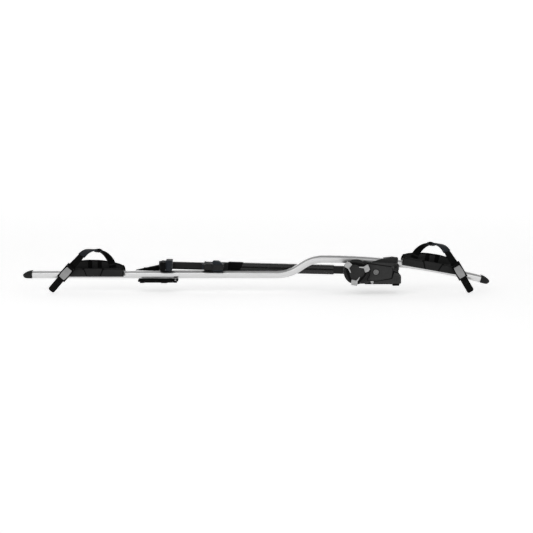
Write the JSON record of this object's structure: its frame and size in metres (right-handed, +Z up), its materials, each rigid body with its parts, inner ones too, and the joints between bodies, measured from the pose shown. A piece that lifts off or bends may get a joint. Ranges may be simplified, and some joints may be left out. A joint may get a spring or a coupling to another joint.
{
  "type": "roof bike carrier",
  "caption": "Roof-mounted upright bicycle carrier: bent aluminium rail with strapped wheel trays, a base with a torque knob, and a folding frame arm with padded jaws.",
  "frame": {"origin": "on the rail's centre plane, in the plane of the roof bars' tops, under the base housing", "axes": "+X along the rail from the rear end to the front end; +Y to the side where the arm lies, away from the knob; +Z up"},
  "size_m": [1.4513, 0.178, 0.1571],
  "materials": {
    "anodised_rail": "satin anodised extrusion",
    "black_plastic": "fine moulded texture",
    "cap_plastic": "moulded end cap",
    "housing_plastic": "dark grey, finely textured moulding",
    "knob_black": "black moulding",
    "knob_grey": "dark grey moulding",
    "grip_grey": "light grey soft-touch moulding",
    "lever_grey": "mid grey moulding",
    "tube_black": "black anodised tube",
    "steel": "zinc-plated steel",
    "black_steel": "black coated steel",
    "casting": "black coated aluminium casting",
    "pad_rubber": "blue-grey soft rubber",
    "black_rubber": "black rubber",
    "bronze": "sintered bronze",
    "webbing": "black woven webbing",
    "zinc_lock": "satin plated lock face"
  },
  "bodies": {
    "carrier": {"rail": "anodised_rail", "rail_end_cap_rear": "cap_plastic", "rail_end_cap_front": "cap_plastic", "base_chassis": "casting", "rail_bolts": "steel", "base_cover": "housing_plastic", "cover_hinge_pin": "steel", "saddle_cover": "housing_plastic", "shaft_bush": "bronze", "arm_bushes": "bronze", "front_t_bolts": "black_steel", "base_bar_pad": "black_rubber"},
    "door": {"cover_door": "housing_plastic", "cover_tab": "grip_grey"},
    "lock": {"lock_plug": "zinc_lock", "lock_cam": "steel"},
    "bar_nut_near": {"bar_knob_near": "black_plastic"},
    "bar_nut_far": {"bar_knob_far": "black_plastic"},
    "knob": {"knob_dial": "knob_black", "clutch_plate": "steel", "clutch_springs": "steel", "knob_hub": "knob_grey", "knob_grips": "grip_grey", "drive_shaft": "steel", "drive_pinion": "steel"},
    "arm": {"arm_root": "casting", "arm_hub_cap": "black_plastic", "arm_tube_outer": "tube_black", "arm_collar": "black_plastic", "collar_screw": "steel", "lower_jaw": "black_plastic", "lower_jaw_pad": "pad_rubber"},
    "screw": {"drive_screw": "steel", "screw_gear": "steel"},
    "jaw": {"arm_tube_inner": "tube_black", "drive_nut": "bronze", "upper_jaw": "black_plastic", "upper_jaw_pad": "pad_rubber", "jaw_tail": "black_plastic", "upper_jaw_screw": "steel"},
    "rear_foot": {"rear_bracket": "black_plastic", "rear_slider": "steel", "rear_t_bolt": "black_steel", "rear_bar_pads": "black_rubber", "rear_lever_pin": "steel"},
    "rear_lever": {"rear_clamp_lever": "black_plastic"},
    "rear_tray": {"wheel_tray_rear": "black_plastic", "tray_strap_rear": "webbing", "strap_pad_rear": "pad_rubber", "strap_anchor_rear": "black_plastic", "buckle_frame_rear": "black_plastic", "buckle_pin_rear": "steel"},
    "rear_buckle": {"buckle_lever_rear": "lever_grey"},
    "front_tray": {"wheel_tray_front": "black_plastic", "tray_strap_front": "webbing", "strap_pad_front": "pad_rubber", "strap_anchor_front": "black_plastic", "buckle_frame_front": "black_plastic", "buckle_pin_front": "steel"},
    "front_buckle": {"buckle_lever_front": "lever_grey"}
  },
  "joints": [
    {"name": "knob_turn", "type": "hinge", "parent": "arm", "child": "knob", "pos_m": [-0.048, 0, 0.0406], "axis": [0, 1, 0], "range_deg": [0, 3150]},
    {"name": "screw_spin", "type": "hinge", "parent": "arm", "child": "screw", "pos_m": [-0.04832, 0.042, 0.0286], "axis": [0.9996, 0, -0.0267], "range_deg": [-10, 3160]},
    {"name": "jaw_slide", "type": "slide", "parent": "arm", "child": "jaw", "axis": [0.9996, 0, -0.0267], "range_m": [-0.0005, 0.0705]},
    {"name": "arm_fold", "type": "hinge", "parent": "carrier", "child": "arm", "pos_m": [-0.048, 0, 0.0406], "axis": [0, 1, 0], "range_deg": [0, 90]},
    {"name": "door_hinge", "type": "hinge", "parent": "carrier", "child": "door", "pos_m": [0.0609, -0.0902, 0.0542], "axis": [-0.9902, 0, 0.1395], "range_deg": [0, 105]},
    {"name": "lock_turn", "type": "hinge", "parent": "door", "child": "lock", "pos_m": [0.0132, -0.088, 0.0391], "axis": [0, 1, 0], "range_deg": [0, 90]},
    {"name": "bar_nut_near_turn", "type": "hinge", "parent": "carrier", "child": "bar_nut_near", "pos_m": [0.076, -0.055, 0.015], "axis": [0, 0, 1], "continuous": true},
    {"name": "bar_nut_far_turn", "type": "hinge", "parent": "carrier", "child": "bar_nut_far", "pos_m": [0.076, 0.005, 0.015], "axis": [0, 0, 1], "continuous": true},
    {"name": "rear_foot_slide", "type": "slide", "parent": "carrier", "child": "rear_foot", "axis": [1, 0, 0], "range_m": [-0.2, 0.2]},
    {"name": "rear_lever_swing", "type": "hinge", "parent": "rear_foot", "child": "rear_lever", "pos_m": [-0.606, -0.025, 0.005], "axis": [0, 0, 1], "range_deg": [0, 120]},
    {"name": "rear_tray_slide", "type": "slide", "parent": "carrier", "child": "rear_tray", "axis": [1, 0, 0], "range_m": [-0.08, 0.025]},
    {"name": "rear_buckle_lift", "type": "hinge", "parent": "rear_tray", "child": "rear_buckle", "pos_m": [-0.92719, -0.0486, 0.05047], "axis": [-0.7519, 0, 0.6593], "range_deg": [0, 70]},
    {"name": "front_tray_slide", "type": "hinge", "parent": "carrier", "child": "front_tray", "pos_m": [-0.14599, 0, -1.88908], "axis": [0, 1, 0], "range_deg": [-0.08, 1.15]},
    {"name": "front_buckle_lift", "type": "hinge", "parent": "front_tray", "child": "front_buckle", "pos_m": [0.26063, -0.0486, 0.05822], "axis": [-0.8563, 0, -0.5165], "range_deg": [0, 70]}
  ],
  "couplings": [
    {"joint": "screw_spin", "follows": "knob_turn", "ratio": 1},
    {"joint": "jaw_slide", "follows": "knob_turn", "m_per_rad": 0.0012732}
  ]
}
